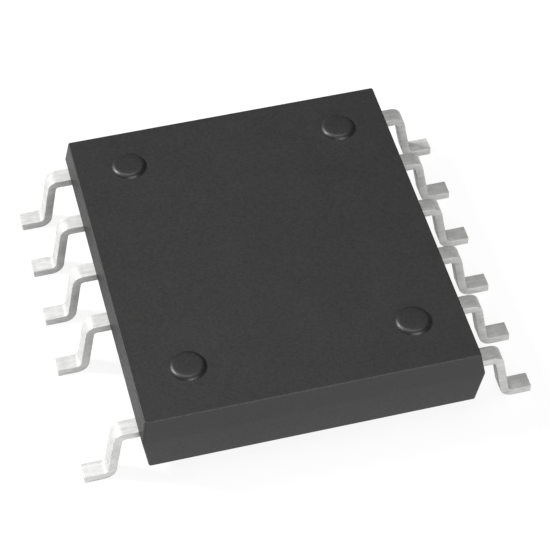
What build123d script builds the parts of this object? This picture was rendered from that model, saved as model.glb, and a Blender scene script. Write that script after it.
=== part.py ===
from build123d import *
from math import atan2, degrees, radians, tan
import os

# A power integrated circuit in a moulded surface-mount package, in millimetres.
# The origin lies under the middle of the body, on the plane that the feet stand on.
# +X points to the row of six leads, +Y to the end with lead 1 and +Z is up.

# moulded body; its length follows from the row of leads
body_end_margin = 0.635
body_width = 8.86
body_bottom = 0.50
parting_height = 1.65
body_top = 2.32
upper_draft = 9.7
lower_draft = 7.4
corner_radius = 0.06
edge_radius = 0.03

# raised round ejector marks on the top
mark_inset = 1.50
mark_offset_x = 0.03
mark_offset_y = 0.10
mark_radius = 0.475
mark_height = 0.10
mark_draft = 22

# gull-wing leads, all bent from one thickness of strip
lead_positions = 6
lead_pitch = 1.778
lead_width = 0.45
lead_thickness = 0.22
shoulder_reach = 0.515
foot_reach = 0.70
riser_lean = 10.2
shoulder_bend = 0.20
foot_bend = 0.25

# wide inner ends of the free leads, each with a hole that the moulding locks into
wall_cover = 0.30
anchor_length = 0.90
anchor_gap = 0.45
anchor_corner = 0.12
row_margin = 0.10
lock_hole_radius = 0.15
lock_hole_inset = 0.32
high_voltage_extra = 0.90

# thermal pad with its stepped edge, and the bent web and bar that join it to six leads
pad_width = 5.50
pad_end_cover = 1.005
lip_width = 0.18
lip_thickness = 0.11
web_slope = 65
web_bend = 0.20
web_cover = 0.35

# the two chips and the layers that hold them to the pad
chip_thickness = 0.28
attach_thickness = 0.03
attach_border = 0.08
power_die_width = 3.20
power_die_length = 3.10
power_die_x = 0.15
control_die_width = 2.00
control_die_length = 1.90
control_die_x = -0.35
die_to_pad_end = 0.60

# bond wires
signal_wire = 0.05
power_wire = 0.10
wire_sides = 8
loop_rise = 0.26
bond_inset = 0.22
signal_pad_pitch = 0.42
gate_pad_pitch = 0.50
drain_pad_pitch = 0.60
drain_pad_inset = 0.85
ground_reach = 0.75

# the left row leaves its last place but one empty, and its end lead carries the high voltage
free_leads = [n for n in range(1, lead_positions + 1) if n != lead_positions - 1]
signal_leads = free_leads[:-1]
pad_leads = range(lead_positions + 1, 2 * lead_positions + 1)

# heights and places worked out from the sizes above
row_length = (lead_positions - 1) * lead_pitch
row_end = row_length / 2 + lead_width / 2 + row_margin
body_length = row_length + 2 * body_end_margin
pad_length = body_length - 2 * pad_end_cover
lead_middle = parting_height - lead_thickness / 2
foot_middle = lead_thickness / 2
pad_middle = body_bottom + lead_thickness / 2
pad_top = body_bottom + lead_thickness
chip_top = pad_top + attach_thickness + chip_thickness
wall = body_width / 2
shoulder_corner = wall + shoulder_reach
foot_corner = shoulder_corner + (lead_middle - foot_middle) * tan(radians(riser_lean))
toe = foot_corner + foot_reach
anchor_outer = wall - wall_cover
anchor_inner = anchor_outer - anchor_length
web_tangent = web_bend * tan(radians(web_slope / 2))
web_foot = pad_width / 2 + lip_width + web_tangent
web_head = web_foot + (lead_middle - pad_middle) / tan(radians(web_slope))
web_edge = wall - web_cover
power_die_y = -pad_length / 2 + die_to_pad_end + power_die_length / 2
control_die_y = pad_length / 2 - die_to_pad_end - control_die_length / 2


def lead_y(number):
    # leads 1 to 6 run down the left row, and 7 to 12 come back up the right one
    place = number - 1 if number <= lead_positions else 2 * lead_positions - number
    return row_length / 2 - place * lead_pitch


def bent_lead(number, inner_end):
    # a strip from its inner end to its toe, with the underside of the foot at zero
    side = -1 if number <= lead_positions else 1
    with BuildPart() as strip:
        with BuildSketch(Plane.XZ.offset(-lead_y(number))):
            with BuildLine():
                FilletPolyline(
                    (side * inner_end, lead_middle),
                    (side * shoulder_corner, lead_middle),
                    (side * foot_corner, foot_middle),
                    (side * toe, foot_middle),
                    radius=[shoulder_bend, foot_bend],
                )
            trace(line_width=lead_thickness)
        extrude(amount=lead_width / 2, both=True)
    return strip.part


def anchor_span(number):
    # a free lead widens as far as its neighbours and the end of the row allow
    reach = (lead_pitch - anchor_gap) / 2
    low = max(lead_y(number) - reach, -row_end)
    high = min(lead_y(number) + reach, row_end)
    if number == lead_positions:
        high += high_voltage_extra
    return low, high


def bond_wire(start, end, diameter, crest):
    # a wire rises from its ball on a chip, bends over and comes down to a flat stitch
    run = (Vector(*end[:2]) - Vector(*start[:2])).length
    heading = degrees(atan2(end[1] - start[1], end[0] - start[0]))
    side_view = Plane(
        origin=(start[0], start[1], 0),
        x_dir=(end[0] - start[0], end[1] - start[1], 0),
        z_dir=(end[1] - start[1], start[0] - end[0], 0),
    )
    ball_radius = 1.1 * diameter
    ball_height = 0.7 * diameter
    stitch_length = 3.4 * diameter
    stitch_width = 1.8 * diameter
    stitch_height = 1.2 * diameter
    loop_bend = 1.6 * diameter
    descent = 1.2 * (crest - end[2])
    with BuildPart() as wire:
        with BuildLine(side_view) as path:
            Polyline(
                (0, start[2] + ball_height / 2),
                (0, crest - loop_bend),
                (loop_bend, crest),
                (run - descent, crest),
                (run, end[2] + stitch_height / 2),
            )
        with BuildSketch(Plane(origin=path.line @ 0, z_dir=path.line % 0)):
            RegularPolygon(diameter / 2, wire_sides)
        sweep(transition=Transition.RIGHT)
        with BuildSketch(Plane.XY.offset(start[2])):
            with Locations(start[:2]):
                Circle(ball_radius)
        extrude(amount=ball_height)
        with BuildSketch(Plane.XY.offset(end[2])):
            with Locations(Location((end[0], end[1]), heading)):
                Rectangle(stitch_length, stitch_width)
        extrude(amount=stitch_height)
    return wire.part


os.makedirs("parts", exist_ok=True)
inner_pieces = []

# free leads of the left row
for number in free_leads:
    strip = bent_lead(number, anchor_inner)
    low, high = anchor_span(number)
    with BuildPart() as lead:
        add(strip)
        with BuildSketch(Plane.XY.offset(parting_height)):
            with Locations((-(anchor_outer + anchor_inner) / 2, (low + high) / 2)):
                RectangleRounded(anchor_length, high - low, anchor_corner)
        extrude(amount=-lead_thickness)
        with Locations((lock_hole_inset - anchor_outer, (low + high) / 2, parting_height)):
            Hole(lock_hole_radius, lead_thickness)
    lead.part.label = f"lead_{number}"
    export_step(lead.part, f"parts/lead_{number}.step")
    inner_pieces.append(lead.part)

# thermal pad, web, bar and the six leads of the right row, stamped as one piece
pad_strips = [bent_lead(number, web_edge - lead_thickness) for number in pad_leads]
bar_start = web_head + web_tangent
with BuildPart() as thermal_pad_frame:
    with BuildSketch(Plane.XZ):
        with BuildLine():
            FilletPolyline(
                (-pad_width / 2, pad_middle),
                (web_foot, pad_middle),
                (web_head, lead_middle),
                (web_edge, lead_middle),
                radius=web_bend,
            )
        trace(line_width=lead_thickness)
    extrude(amount=pad_length / 2, both=True)
    with BuildSketch(Plane.XY.offset(parting_height)):
        with Locations(((bar_start + web_edge) / 2, 0)):
            Rectangle(web_edge - bar_start, 2 * row_end)
    extrude(amount=-lead_thickness)
    add(pad_strips)
    with BuildSketch(Plane.XY.offset(pad_top)):
        Rectangle(pad_width + 2 * lip_width, pad_length + 2 * lip_width)
    extrude(amount=-lip_thickness)
    # the underside steps up just past the exposed face, where the web begins
    with BuildSketch(Plane.XY.offset(body_bottom)):
        with Locations(((pad_width / 2 + web_head) / 2, 0)):
            Rectangle(web_head - pad_width / 2, pad_length)
    extrude(amount=lead_thickness - lip_thickness, mode=Mode.SUBTRACT)
thermal_pad_frame.part.label = "thermal_pad_frame"
export_step(thermal_pad_frame.part, "parts/thermal_pad_frame.step")
inner_pieces.append(thermal_pad_frame.part)

# chips and their attach layers
dies = {
    "power_die": (power_die_x, power_die_y, power_die_width, power_die_length),
    "control_die": (control_die_x, control_die_y, control_die_width, control_die_length),
}
for name, (x, y, width, length) in dies.items():
    with BuildPart() as attach_layer:
        with BuildSketch(Plane.XY.offset(pad_top)):
            with Locations((x, y)):
                Rectangle(width + 2 * attach_border, length + 2 * attach_border)
        extrude(amount=attach_thickness)
    attach_layer.part.label = f"{name}_attach"
    export_step(attach_layer.part, f"parts/{name}_attach.step")
    with BuildPart() as die:
        with BuildSketch(Plane.XY.offset(pad_top + attach_thickness)):
            with Locations((x, y)):
                Rectangle(width, length)
        extrude(amount=chip_thickness)
    die.part.label = name
    export_step(die.part, f"parts/{name}.step")
    inner_pieces += [attach_layer.part, die.part]

# places where the wires start on the chips, each with the place where it ends
stitch_x = -(anchor_inner + bond_inset)
signal_x = control_die_x - control_die_width / 2 + bond_inset
ground_x = control_die_x + control_die_width / 2 - bond_inset
drain_x = power_die_x - power_die_width / 2 + bond_inset
source_x = power_die_x + power_die_width / 2 - bond_inset
drain_y = power_die_y - power_die_length / 2 + drain_pad_inset
gate_start = control_die_y - control_die_length / 2 + bond_inset
gate_end = power_die_y + power_die_length / 2 - bond_inset
lead_crest = parting_height + loop_rise
die_crest = chip_top + loop_rise
wires = {}
for number in signal_leads:
    pad_y = control_die_y + ((len(signal_leads) + 1) / 2 - number) * signal_pad_pitch
    stitch_y = sum(anchor_span(number)) / 2
    wires[f"signal_wire_{number}"] = (
        (signal_x, pad_y, chip_top), (stitch_x, stitch_y, parting_height), signal_wire, lead_crest)
for count, side in enumerate((1, -1), start=1):
    shift = side * drain_pad_pitch / 2
    stitch_y = sum(anchor_span(lead_positions)) / 2
    wires[f"drain_wire_{count}"] = (
        (drain_x, drain_y + shift, chip_top), (stitch_x, stitch_y + shift, parting_height),
        power_wire, lead_crest)
for name, side in (("gate_wire", 1), ("sense_wire", -1)):
    pad_x = control_die_x + side * gate_pad_pitch / 2
    wires[name] = ((pad_x, gate_start, chip_top), (pad_x, gate_end, chip_top), signal_wire, die_crest)
for name, pad_x, pad_y, diameter in (
    ("ground_wire", ground_x, control_die_y, signal_wire),
    ("source_wire", source_x, power_die_y, power_wire),
):
    reach = bond_inset + ground_reach
    wires[name] = ((pad_x, pad_y, chip_top), (pad_x + reach, pad_y, pad_top), diameter, die_crest)

for name, (start, end, diameter, crest) in wires.items():
    wire = bond_wire(start, end, diameter, crest)
    wire.label = name
    export_step(wire, f"parts/{name}.step")
    inner_pieces.append(wire)

# moulded body, drafted both ways from the parting line and cast round everything inside
with BuildPart() as moulded_body:
    for height, draft in ((body_top, upper_draft), (body_bottom, lower_draft)):
        inset = abs(height - parting_height) * tan(radians(draft))
        with BuildSketch(Plane.XY.offset(parting_height)):
            RectangleRounded(body_width, body_length, corner_radius)
        with BuildSketch(Plane.XY.offset(height)):
            RectangleRounded(body_width - 2 * inset, body_length - 2 * inset, corner_radius)
        loft(ruled=True)
    flat_faces = faces().filter_by(Axis.Z).sort_by(Axis.Z)
    fillet(flat_faces[0].edges() + flat_faces[-1].edges(), edge_radius)
    with BuildSketch(Plane.XY.offset(body_top)):
        with Locations((mark_offset_x, mark_offset_y)):
            with GridLocations(body_width - 2 * mark_inset, body_length - 2 * mark_inset, 2, 2):
                Circle(mark_radius)
    extrude(amount=mark_height, taper=mark_draft)
    for piece in inner_pieces:
        add(piece, mode=Mode.SUBTRACT)
moulded_body.part.label = "moulded_body"
export_step(moulded_body.part, "parts/moulded_body.step")
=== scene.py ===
from math import cos, radians, sin, tan

import bmesh
import bpy
from mathutils import Matrix, Vector


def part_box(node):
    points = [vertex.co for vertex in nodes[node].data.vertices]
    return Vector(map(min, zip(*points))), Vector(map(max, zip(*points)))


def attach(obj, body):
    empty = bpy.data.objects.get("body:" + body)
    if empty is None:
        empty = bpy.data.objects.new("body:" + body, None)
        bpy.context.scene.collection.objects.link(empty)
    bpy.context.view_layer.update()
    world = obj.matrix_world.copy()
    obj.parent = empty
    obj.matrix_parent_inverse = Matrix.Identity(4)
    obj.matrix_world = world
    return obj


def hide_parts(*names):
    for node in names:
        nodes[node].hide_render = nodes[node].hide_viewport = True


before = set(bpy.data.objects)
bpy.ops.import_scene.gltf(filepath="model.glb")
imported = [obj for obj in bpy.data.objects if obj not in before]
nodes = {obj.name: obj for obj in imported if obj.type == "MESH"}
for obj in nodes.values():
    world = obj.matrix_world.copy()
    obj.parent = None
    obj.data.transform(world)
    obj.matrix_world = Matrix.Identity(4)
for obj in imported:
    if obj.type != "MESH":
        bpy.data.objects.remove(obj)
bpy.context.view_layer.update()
mm = 0.001
micrometre = 1e-6
near = 1e-3  # places closer than this, in millimetres, count as one
along = 0.9  # an edge or face that points this much along an axis counts as parallel to it
print("frame loaded,", len(nodes), "nodes")


# small helpers for edit mode
def activate(piece):
    bpy.ops.object.select_all(action="DESELECT")
    piece.select_set(True)
    bpy.context.view_layer.objects.active = piece


def editOnly(piece):
    if bpy.context.object and bpy.context.object.mode != "OBJECT":
        bpy.ops.object.mode_set(mode="OBJECT")
    activate(piece)
    bpy.ops.object.mode_set(mode="EDIT")


def pick(kind, test):
    # selects the faces or edges that pass the test, and nothing else
    bpy.ops.mesh.select_mode(type=kind)
    bpy.ops.mesh.select_all(action="DESELECT")
    mesh = bmesh.from_edit_mesh(bpy.context.object.data)
    for item in mesh.faces if kind == "FACE" else mesh.edges:
        if test(item):
            item.select_set(True)
    bmesh.update_edit_mesh(bpy.context.object.data)


def middle(item):
    points = [v.co for v in item.verts]
    return sum(points, Vector()) / len(points) / mm


def direction(edge):
    return (edge.verts[1].co - edge.verts[0].co).normalized()


def addBlock(name, low, high):
    # a cube between two corners given in millimetres, left in edit mode
    low, high = Vector(low), Vector(high)
    bpy.ops.object.select_all(action="DESELECT")
    bpy.ops.mesh.primitive_cube_add(size=mm, location=(low + high) / 2 * mm, scale=high - low)
    bpy.ops.object.transform_apply(location=True, rotation=True, scale=True)
    bpy.context.object.name = name
    bpy.context.object.data.name = name
    editOnly(bpy.context.object)
    return bpy.context.object


def push(offset):
    bpy.ops.mesh.extrude_region_move(TRANSFORM_OT_translate={"value": Vector(offset) * mm})


def bend(x, z, degrees, steps):
    # spins the picked end face round a line along Y, downwards for a positive angle
    bpy.ops.mesh.spin(steps=steps, angle=radians(degrees), center=(x * mm, 0, z * mm), axis=(0, -1, 0))


def roundOff(offset, segments):
    bpy.ops.mesh.bevel(offset=offset * mm, segments=segments, affect="EDGES")


def leaveEdit():
    bpy.ops.mesh.select_all(action="SELECT")
    bpy.ops.mesh.remove_doubles(threshold=near * mm)
    bpy.ops.mesh.normals_make_consistent(inside=False)
    bpy.ops.object.mode_set(mode="OBJECT")


def combine(piece, others, operation, keep=False):
    activate(piece)
    for other in others:
        bpy.ops.object.modifier_add(type="BOOLEAN")
        modifier = piece.modifiers[-1]
        modifier.operation = operation
        modifier.solver = "EXACT"
        modifier.object = other
        bpy.ops.object.modifier_apply(modifier=modifier.name)
        if not keep:
            bpy.data.objects.remove(other)


def copyPiece(piece, name, offset, halfTurn=False):
    # its own mesh, moved and, for the other row, turned half round the Z axis
    fresh = piece.copy()
    fresh.data = piece.data.copy()
    fresh.name = fresh.data.name = name
    bpy.context.scene.collection.objects.link(fresh)
    turn = Matrix.Rotation(radians(180 if halfTurn else 0), 4, "Z")
    fresh.data.transform(Matrix.Translation(Vector(offset) * mm) @ turn)
    return fresh


def finishPiece(piece, node, materials, smoothAngle):
    activate(piece)
    bpy.ops.object.shade_smooth_by_angle(angle=radians(smoothAngle))
    bpy.ops.object.modifier_add(type="WEIGHTED_NORMAL")  # keeps the shading of large flat faces flat
    modifier = piece.modifiers[-1]
    modifier.keep_sharp = True
    bpy.ops.object.modifier_apply(modifier=modifier.name)
    for material in materials:
        piece.data.materials.append(material)
    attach(piece, "root")
    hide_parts(node)


# materials
def newMaterial(name, colour, roughness, metallic):
    material = bpy.data.materials.new(name)
    material.use_nodes = True
    tree = material.node_tree
    shader = tree.nodes["Principled BSDF"]
    shader.inputs["Base Color"].default_value = (*colour, 1)
    shader.inputs["Roughness"].default_value = roughness
    shader.inputs["Metallic"].default_value = metallic
    coordinates = tree.nodes.new("ShaderNodeTexCoord")
    return material, tree, shader, coordinates.outputs["Object"]


def addNoise(tree, place, scale, detail, stretch=(1, 1, 1)):
    # scale is in waves per millimetre
    mapping = tree.nodes.new("ShaderNodeMapping")
    mapping.inputs["Scale"].default_value = [scale / mm * s for s in stretch]
    tree.links.new(place, mapping.inputs["Vector"])
    noise = tree.nodes.new("ShaderNodeTexNoise")
    noise.inputs["Scale"].default_value = 1
    noise.inputs["Detail"].default_value = detail
    tree.links.new(mapping.outputs["Vector"], noise.inputs["Vector"])
    return noise.outputs["Fac"]


def addRange(tree, source, low, high, fromLow=0.3, fromHigh=0.7):
    # a single noise stays mostly between 0.3 and 0.7
    node = tree.nodes.new("ShaderNodeMapRange")
    node.inputs["From Min"].default_value = fromLow
    node.inputs["From Max"].default_value = fromHigh
    node.inputs["To Min"].default_value = low
    node.inputs["To Max"].default_value = high
    tree.links.new(source, node.inputs["Value"])
    return node.outputs["Result"]


def addShade(tree, shader, share, first, second):
    # colours the shader between two shades
    node = tree.nodes.new("ShaderNodeMix")
    node.data_type = "RGBA"
    node.inputs["A"].default_value = (*first, 1)
    node.inputs["B"].default_value = (*second, 1)
    tree.links.new(share, node.inputs["Factor"])
    tree.links.new(node.outputs["Result"], shader.inputs["Base Color"])


def addBump(tree, shader, source, height):
    # height is in micrometres
    node = tree.nodes.new("ShaderNodeBump")
    node.inputs["Strength"].default_value = 1
    node.inputs["Distance"].default_value = height * micrometre
    tree.links.new(source, node.inputs["Height"])
    tree.links.new(node.outputs["Normal"], shader.inputs["Normal"])


compound = {
    "dark": (0.0120, 0.0120, 0.0118),
    "light": (0.0140, 0.0140, 0.0138),
    "clouds": 0.7,  # waves per millimetre
    "grain": 14,  # waves per millimetre of the spark-eroded mould surface
    "grainHeight": 2.2,
    "roughness": 0.50,
    "roughnessSpread": 0.06,
    "specular": 0.40,
    "pinGrain": 0.5,  # grain height on the ejector marks, as a share
    "pinPolish": 0.05,  # how much less rough the ejector marks are
}


def makeCompound(name, grainHeight, roughness):
    material, tree, shader, place = newMaterial(name, compound["dark"], roughness, 0)
    clouds = addNoise(tree, place, compound["clouds"], 3)
    addShade(tree, shader, addRange(tree, clouds, 0, 1), compound["dark"], compound["light"])
    grain = addNoise(tree, place, compound["grain"], 4)
    spread = compound["roughnessSpread"]
    rough = addRange(tree, grain, roughness - spread, roughness + spread)
    tree.links.new(rough, shader.inputs["Roughness"])
    addBump(tree, shader, grain, grainHeight)
    shader.inputs["Specular IOR Level"].default_value = compound["specular"]
    return material


tin = {
    "dark": (0.36, 0.36, 0.354),
    "light": (0.47, 0.47, 0.464),
    "mottling": (0.75, 1.25),  # sums of the two noises that give the dark and the light shade
    "clouds": 5,  # waves per millimetre
    "rolling": 12,
    "rollingStretch": (0.12, 1, 1),
    "crystals": 40,
    "crystalHeight": 0.35,
    "roughness": 0.42,
    "smoother": 0.05,
    "rougher": 0.07,
    "metallic": 0.05,
}


def makeTin():
    material, tree, shader, place = newMaterial("matte_tin", tin["light"], tin["roughness"], tin["metallic"])
    crystals = addNoise(tree, place, tin["crystals"], 3)
    rolling = addNoise(tree, place, tin["rolling"], 2, tin["rollingStretch"])
    both = tree.nodes.new("ShaderNodeMath")
    tree.links.new(rolling, both.inputs[0])
    tree.links.new(addNoise(tree, place, tin["clouds"], 4), both.inputs[1])
    mottling = addRange(tree, both.outputs[0], 0, 1, *tin["mottling"])
    addShade(tree, shader, mottling, tin["dark"], tin["light"])
    rough = addRange(tree, crystals, tin["roughness"] - tin["smoother"], tin["roughness"] + tin["rougher"])
    tree.links.new(rough, shader.inputs["Roughness"])
    addBump(tree, shader, crystals, tin["crystalHeight"])
    return material


silicon = {
    "base": (0.12, 0.13, 0.16),
    "cellOne": (0.10, 0.11, 0.15),
    "cellTwo": (0.17, 0.16, 0.19),
    "track": (0.38, 0.37, 0.34),
    "cells": 3,  # per millimetre
    "roughness": 0.18,
    "metallic": 0.6,
}


def makeSilicon():
    # polished, with a faint grid of cells
    material, tree, shader, place = newMaterial(
        "silicon_chip", silicon["base"], silicon["roughness"], silicon["metallic"])
    cells = tree.nodes.new("ShaderNodeTexBrick")
    cells.inputs["Scale"].default_value = silicon["cells"] / mm
    cells.inputs["Color1"].default_value = (*silicon["cellOne"], 1)
    cells.inputs["Color2"].default_value = (*silicon["cellTwo"], 1)
    cells.inputs["Mortar"].default_value = (*silicon["track"], 1)
    tree.links.new(place, cells.inputs["Vector"])
    tree.links.new(cells.outputs["Color"], shader.inputs["Base Color"])
    return material


adhesive = {
    "base": (0.42, 0.42, 0.41),
    "dark": (0.30, 0.30, 0.29),
    "light": (0.52, 0.52, 0.50),
    "flakes": 30,  # waves per millimetre
    "flakeHeight": 1.5,
    "roughness": 0.5,
    "metallic": 0.4,
}


def makeAdhesive():
    # filled with silver flakes
    material, tree, shader, place = newMaterial(
        "silver_adhesive", adhesive["base"], adhesive["roughness"], adhesive["metallic"])
    flakes = addNoise(tree, place, adhesive["flakes"], 4)
    addShade(tree, shader, addRange(tree, flakes, 0, 1), adhesive["dark"], adhesive["light"])
    addBump(tree, shader, flakes, adhesive["flakeHeight"])
    return material


wire = {
    "base": (0.80, 0.45, 0.28),
    "dark": (0.72, 0.38, 0.22),
    "light": (0.86, 0.52, 0.34),
    "drawing": 60,  # waves per millimetre
    "roughness": 0.25,
}


def makeWireMetal():
    material, tree, shader, place = newMaterial("drawn_copper", wire["base"], wire["roughness"], 1)
    drawing = addNoise(tree, place, wire["drawing"], 2)
    addShade(tree, shader, addRange(tree, drawing, 0, 1), wire["dark"], wire["light"])
    return material


sparked = makeCompound("mould_compound_sparked", compound["grainHeight"], compound["roughness"])
pinned = makeCompound("mould_compound_pin_mark", compound["grainHeight"] * compound["pinGrain"],
                      compound["roughness"] - compound["pinPolish"])
tinFinish = makeTin()
print("materials made")


# gull-wing strip, modelled once on the right side at y = 0
strip = {
    "width": 0.45,
    "thickness": 0.22,
    "shoulderCorner": 4.945,
    "riserLean": 10.2,
    "shoulderBend": 0.20,
    "footBend": 0.25,
    "topEdge": 0.016,  # rounded by the stamping die
    "undersideEdge": 0.008,
    "toeEdge": 0.014,
    "bendSteps": 12,
    "smoothAngle": 30,
}
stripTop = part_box("lead_1")[1].z / mm
toe = -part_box("lead_1")[0].x / mm
rowPitch = 1.778
padLeadCount = 6


def makeStrip(name, innerX):
    half, side = strip["thickness"] / 2, strip["width"] / 2
    bottom = stripTop - strip["thickness"]
    lean = radians(strip["riserLean"])
    turn = 90 - strip["riserLean"]
    drop = stripTop - 2 * half  # from the middle of the shoulder to the middle of the foot
    shoulderTangent = strip["shoulderBend"] * tan(radians(turn / 2))
    footTangent = strip["footBend"] * tan(radians(turn / 2))
    riser = drop / cos(lean) - shoulderTangent - footTangent
    shoulderStart = strip["shoulderCorner"] - shoulderTangent
    footEnd = strip["shoulderCorner"] + drop * tan(lean) + footTangent
    piece = addBlock(name, (innerX, -side, bottom), (shoulderStart, side, stripTop))
    pick("EDGE", lambda e: abs(direction(e).x) > along and middle(e).z > stripTop - near)
    roundOff(strip["topEdge"], 5)
    pick("EDGE", lambda e: abs(direction(e).x) > along and middle(e).z < bottom + near)
    roundOff(strip["undersideEdge"], 2)
    pick("FACE", lambda f: f.normal.x > along)
    bend(shoulderStart, stripTop - half - strip["shoulderBend"], turn, strip["bendSteps"])
    push((riser * sin(lean), 0, -riser * cos(lean)))
    bend(footEnd, half + strip["footBend"], -turn, strip["bendSteps"])
    push((toe - footEnd, 0, 0))
    pick("EDGE", lambda e: middle(e).x > toe - near)
    roundOff(strip["toeEdge"], 3)
    leaveEdit()
    return piece


# the wide inner end of a free lead, with the hole that the moulding locks into
anchor = {
    "inner": 3.23,
    "outer": 4.13,
    "corner": 0.12,
    "stripOverlap": 0.10,
    "holeRadius": 0.15,
    "holeInset": 0.32,
    "cutterBottom": 1.2,
    "cutterTop": 1.9,
}


def makeAnchor(low, high):
    bottom = stripTop - strip["thickness"]
    plate = addBlock("anchor", (-anchor["outer"], low, bottom), (-anchor["inner"], high, stripTop))
    pick("EDGE", lambda e: abs(direction(e).z) > along)
    roundOff(anchor["corner"], 8)
    leaveEdit()
    return plate


def makeHoleCutter(y):
    x = anchor["holeInset"] - anchor["outer"]
    bottom, top = anchor["cutterBottom"], anchor["cutterTop"]
    bpy.ops.object.select_all(action="DESELECT")
    bpy.ops.mesh.primitive_cylinder_add(
        vertices=48, radius=anchor["holeRadius"] * mm, depth=(top - bottom) * mm,
        location=(x * mm, y * mm, (bottom + top) / 2 * mm))
    bpy.ops.object.transform_apply(location=True, rotation=True, scale=True)
    return bpy.context.object


def makeFreeLead(node, master):
    number = int(node.split("_")[1])
    y = rowPitch * ((padLeadCount + 1) / 2 - number)
    low, high = [corner.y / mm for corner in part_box(node)]
    lead = copyPiece(master, f"gull_{node}", (0, y, 0), halfTurn=True)
    combine(lead, [makeAnchor(low, high)], "UNION")
    combine(lead, [makeHoleCutter((low + high) / 2)], "DIFFERENCE")
    finishPiece(lead, node, [tinFinish], strip["smoothAngle"])
    return lead


stripMaster = makeStrip("strip_master", anchor["inner"] + anchor["stripOverlap"])
leads = [makeFreeLead(name, stripMaster) for name in sorted(nodes) if name.startswith("lead_")]
bpy.data.objects.remove(stripMaster)
print(len(leads), "free leads made")


# thermal pad, web, bar and the six leads of the right row, in one piece
padFrame = {
    "padWidth": 5.50,
    "padLength": 8.15,
    "padBottom": 0.50,
    "lipWidth": 0.18,
    "lipThickness": 0.11,
    "webSlope": 65,
    "webBend": 0.20,
    "webEdge": 4.08,
    "rowEnd": 4.77,
    "bendSteps": 8,
    "cutterReach": 1,  # how far the cutter under the lip stands out
}


def makePadFrame():
    thickness, steps = strip["thickness"], padFrame["bendSteps"]
    bottom = padFrame["padBottom"]
    top = bottom + thickness
    halfWidth, halfLength = padFrame["padWidth"] / 2, padFrame["padLength"] / 2
    lip, lipBottom = padFrame["lipWidth"], top - padFrame["lipThickness"]
    slope = radians(padFrame["webSlope"])
    tangent = padFrame["webBend"] * tan(slope / 2)
    webFoot = halfWidth + lip + tangent
    rise = stripTop - top
    webHead = webFoot + rise / tan(slope)
    run = rise / sin(slope) - 2 * tangent
    webEdge, rowEnd, reach = padFrame["webEdge"], padFrame["rowEnd"], padFrame["cutterReach"]
    piece = addBlock("pad_and_row_frame", (-halfWidth, -halfLength, bottom),
                     (webFoot - tangent, halfLength, top))
    pick("FACE", lambda f: f.normal.x > along)
    bend(webFoot - tangent, bottom + thickness / 2 + padFrame["webBend"], -padFrame["webSlope"], steps)
    push((run * cos(slope), 0, run * sin(slope)))
    bend(webHead + tangent, stripTop - thickness / 2 - padFrame["webBend"], padFrame["webSlope"], steps)
    push((webEdge - webHead - tangent, 0, 0))
    leaveEdit()
    bar = addBlock("bar", (webHead + tangent, -rowEnd, stripTop - thickness), (webEdge, rowEnd, stripTop))
    leaveEdit()
    plate = addBlock("lip_plate", (-halfWidth - lip, -halfLength - lip, lipBottom),
                     (halfWidth + lip, halfLength + lip, top))
    leaveEdit()
    cutter = addBlock("cutter", (halfWidth, -halfLength - reach, bottom - reach),
                      (webHead, halfLength + reach, lipBottom))
    leaveEdit()
    combine(piece, [cutter], "DIFFERENCE")
    combine(piece, [bar, plate], "UNION")
    master = makeStrip("pad_strip", webEdge - thickness)
    rowPlaces = [rowPitch * (number - (padLeadCount - 1) / 2) for number in range(padLeadCount)]
    combine(piece, [copyPiece(master, "pad_strip_copy", (0, y, 0)) for y in rowPlaces], "UNION")
    bpy.data.objects.remove(master)
    return piece


padFramePiece = makePadFrame()
finishPiece(padFramePiece, "thermal_pad_frame", [tinFinish], strip["smoothAngle"])
print("pad frame made")


# moulded body
body = {
    "width": 8.86,
    "length": 10.16,
    "bottom": 0.50,
    "parting": 1.65,
    "top": 2.32,
    "upperDraft": 9.7,
    "lowerDraft": 7.4,
    "corner": 0.06,
    "edge": 0.0255,
    "smoothAngle": 15,  # less than the two drafts together, so the parting edge stays sharp
    "markInset": 1.50,
    "markOffset": (0.03, 0.10),
    "markRadius": 0.475,
    "markDraft": 22,
    "markRim": 0.09,
    "markFlat": 0.27,  # from the rim of a mark to the flat middle of its top
    "markSunk": 0.05,
}


def drawIn(draft, height):
    # narrows the picked end face by the draft over its height from the parting plane
    inset = height * tan(radians(draft))
    factors = (1 - 2 * inset / body["width"], 1 - 2 * inset / body["length"], 1)
    bpy.ops.transform.resize(value=factors, center_override=(0, 0, 0))


def makeBody():
    halfWidth, halfLength = body["width"] / 2, body["length"] / 2
    bottom, parting, top = body["bottom"], body["parting"], body["top"]
    piece = addBlock("package_body", (-halfWidth, -halfLength, bottom), (halfWidth, halfLength, top))
    bpy.ops.mesh.select_all(action="SELECT")
    bpy.ops.mesh.bisect(plane_co=(0, 0, parting * mm), plane_no=(0, 0, 1))
    pick("FACE", lambda f: f.normal.z > along)
    drawIn(body["upperDraft"], top - parting)
    pick("FACE", lambda f: f.normal.z < -along)
    drawIn(body["lowerDraft"], parting - bottom)
    pick("EDGE", lambda e: abs(direction(e).z) > along)
    roundOff(body["corner"], 8)
    pick("EDGE", lambda e: middle(e).z > top - near or middle(e).z < bottom + near)
    roundOff(body["edge"], 6)
    leaveEdit()
    piece.data.materials.append(sparked)
    piece.data.materials.append(pinned)
    return piece


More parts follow.
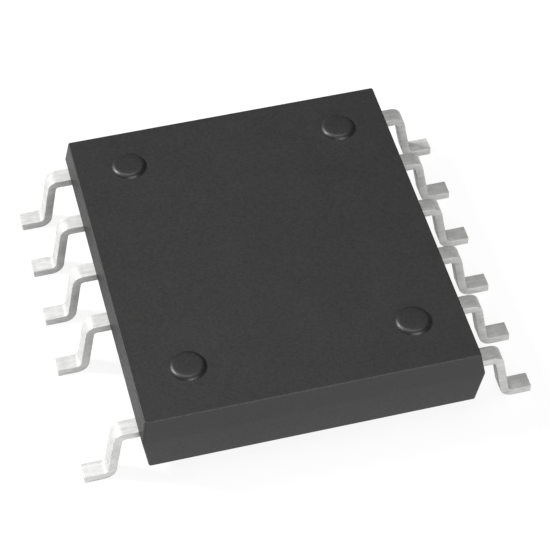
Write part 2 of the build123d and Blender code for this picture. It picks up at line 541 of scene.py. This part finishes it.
def makeMark(x, y):
    # a raised round mark left by an ejector pin, with a rounded rim
    top, sunk = body["top"], body["markSunk"]
    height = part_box("moulded_body")[1].z / mm - top
    lean = tan(radians(body["markDraft"]))
    topRadius = body["markRadius"] - height * lean
    topMiddle = Vector((x, y, top + height))
    bpy.ops.object.select_all(action="DESELECT")
    bpy.ops.mesh.primitive_cone_add(
        vertices=96, radius1=(body["markRadius"] + sunk * lean) * mm, radius2=topRadius * mm,
        depth=(height + sunk) * mm, location=(x * mm, y * mm, (top + (height - sunk) / 2) * mm))
    bpy.ops.object.transform_apply(location=True, rotation=True, scale=True)
    mark = bpy.context.object
    editOnly(mark)
    pick("FACE", lambda f: f.normal.z > along)
    bpy.ops.mesh.inset(thickness=body["markFlat"] * mm, depth=0)
    pick("EDGE", lambda e: middle(e).z > topMiddle.z - near
         and (middle(e) - topMiddle).length > topRadius - near)
    roundOff(body["markRim"], 6)
    leaveEdit()
    mark.data.materials.append(sparked)
    mark.data.materials.append(pinned)
    for face in mark.data.polygons:
        face.material_index = 1
    return mark


def makePocket(name):
    # a cutter in the shape of an inner solid
    pocket = bpy.data.objects.new(f"{name}_pocket", nodes[name].data.copy())
    bpy.context.scene.collection.objects.link(pocket)
    editOnly(pocket)
    leaveEdit()
    return pocket


packageBody = makeBody()
markX = body["width"] / 2 - body["markInset"]
markY = body["length"] / 2 - body["markInset"]
for sideX in (-1, 1):
    for sideY in (-1, 1):
        place = (body["markOffset"][0] + sideX * markX, body["markOffset"][1] + sideY * markY)
        combine(packageBody, [makeMark(*place)], "UNION")
combine(packageBody, leads + [padFramePiece], "DIFFERENCE", keep=True)
innerNames = [name for name in nodes if name.endswith(("_die", "_attach")) or "wire" in name]
combine(packageBody, [makePocket(name) for name in innerNames], "DIFFERENCE")
finishPiece(packageBody, "moulded_body", [], body["smoothAngle"])
print("moulded body made")


# chips, attach layers and wires keep their solids
finishes = {"_die": makeSilicon(), "_attach": makeAdhesive(), "wire": makeWireMetal()}
for name in innerNames:
    kind = "wire" if "wire" in name else name[name.rindex("_"):]
    nodes[name].data.materials.clear()
    nodes[name].data.materials.append(finishes[kind])
print(len(innerNames), "inner pieces finished")


# floor, light and camera
stage = {
    "floorWidth": 1.6,
    "floorGrey": 0.58,
    "shadowShare": 0.10,  # how much of the white floor is light that a shadow takes away
    "horizon": 0.02,  # surround seen by reflections and by scattered light, low down and overhead
    "overhead": 4.7,
    "overheadFrom": 66,
    "overheadFull": 74,
    "lampDistance": 0.25,
}
keyFromLeft = {
    "azimuth": 154,  # from +X towards +Y
    "elevation": 40,
    "power": 1.05,
    "width": 0.05,
}
fillFromFront = {
    "azimuth": -80,
    "elevation": 12,
    "power": 0.68,
    "width": 0.14,
}
view = {
    "place": (-9.248, -37.578, 45.246),
    "azimuth": -14.167,
    "elevation": 48.763,
    "roll": -0.272,
    "lens": 144.61,
    "sensor": 36,
    "clip": (0.001, 10),
}


def seenBy(tree, kinds):
    # 1 for the rays of the named kinds, 0 for the others
    rays = tree.nodes.new("ShaderNodeLightPath")
    total = rays.outputs[kinds[0]]
    for kind in kinds[1:]:
        both = tree.nodes.new("ShaderNodeMath")
        both.operation = "ADD"
        both.use_clamp = True
        tree.links.new(total, both.inputs[0])
        tree.links.new(rays.outputs[kind], both.inputs[1])
        total = both.outputs[0]
    return total


def makeWorld():
    # white behind the object; as a light, dim round the horizon and bright overhead like a soft box
    world = bpy.data.worlds.new("white_surround")
    bpy.context.scene.world = world
    world.use_nodes = True
    tree = world.node_tree
    background = tree.nodes["Background"]
    background.inputs["Color"].default_value = (1, 1, 1, 1)
    place = tree.nodes.new("ShaderNodeTexCoord")
    parts = tree.nodes.new("ShaderNodeSeparateXYZ")
    tree.links.new(place.outputs["Generated"], parts.inputs[0])
    light = addRange(tree, parts.outputs["Z"], stage["horizon"], stage["overhead"],
                     sin(radians(stage["overheadFrom"])), sin(radians(stage["overheadFull"])))
    mix = tree.nodes.new("ShaderNodeMix")
    tree.links.new(seenBy(tree, ["Is Camera Ray", "Is Transmission Ray"]), mix.inputs["Factor"])
    tree.links.new(light, mix.inputs["A"])
    mix.inputs["B"].default_value = 1
    tree.links.new(mix.outputs["Result"], background.inputs["Strength"])


def addDiffuse(tree, grey):
    diffuse = tree.nodes.new("ShaderNodeBsdfDiffuse")
    diffuse.inputs["Color"].default_value = (grey, grey, grey, 1)
    return diffuse.outputs[0]


def makeFloor():
    # grey to scattered light, and white with a light shadow to the camera and in reflections
    bpy.ops.object.select_all(action="DESELECT")
    bpy.ops.mesh.primitive_plane_add(size=stage["floorWidth"], location=(0, 0, 0))
    floor = bpy.context.object
    floor.name = "studio_floor"
    material = bpy.data.materials.new("white_floor")
    material.use_nodes = True
    tree = material.node_tree
    tree.nodes.remove(tree.nodes["Principled BSDF"])
    plain = addDiffuse(tree, stage["floorGrey"])
    dim = addDiffuse(tree, stage["shadowShare"])
    glow = tree.nodes.new("ShaderNodeEmission")
    glow.inputs["Strength"].default_value = 1 - stage["shadowShare"]
    white = tree.nodes.new("ShaderNodeAddShader")
    tree.links.new(dim, white.inputs[0])
    tree.links.new(glow.outputs[0], white.inputs[1])
    mix = tree.nodes.new("ShaderNodeMixShader")
    seen = seenBy(tree, ["Is Camera Ray", "Is Glossy Ray", "Is Transmission Ray"])
    tree.links.new(seen, mix.inputs["Fac"])
    tree.links.new(plain, mix.inputs[1])
    tree.links.new(white.outputs[0], mix.inputs[2])
    tree.links.new(mix.outputs[0], tree.nodes["Material Output"].inputs["Surface"])
    floor.data.materials.append(material)


def addLamp(name, lamp):
    azimuth, elevation = radians(lamp["azimuth"]), radians(lamp["elevation"])
    towards = Vector((cos(azimuth) * cos(elevation), sin(azimuth) * cos(elevation), sin(elevation)))
    bpy.ops.object.light_add(type="AREA", location=towards * stage["lampDistance"])
    light = bpy.context.object
    light.name = name
    light.rotation_euler = towards.to_track_quat("Z", "Y").to_euler()
    light.data.energy = lamp["power"]
    light.data.size = lamp["width"]


def addCamera():
    bpy.ops.object.camera_add()
    camera = bpy.context.object
    camera.data.lens = view["lens"]
    camera.data.sensor_width = view["sensor"]
    camera.data.clip_start, camera.data.clip_end = view["clip"]
    turned = Matrix.Rotation(radians(view["azimuth"]), 4, "Z")
    turned @= Matrix.Rotation(radians(90 - view["elevation"]), 4, "X")
    turned @= Matrix.Rotation(radians(view["roll"]), 4, "Z")
    camera.matrix_world = Matrix.Translation(Vector(view["place"]) * mm) @ turned
    bpy.context.scene.camera = camera


makeWorld()
makeFloor()
addLamp("key_from_left", keyFromLeft)
addLamp("fill_from_front", fillFromFront)
addCamera()
bpy.context.scene.view_settings.view_transform = "Standard"
print("stage set")
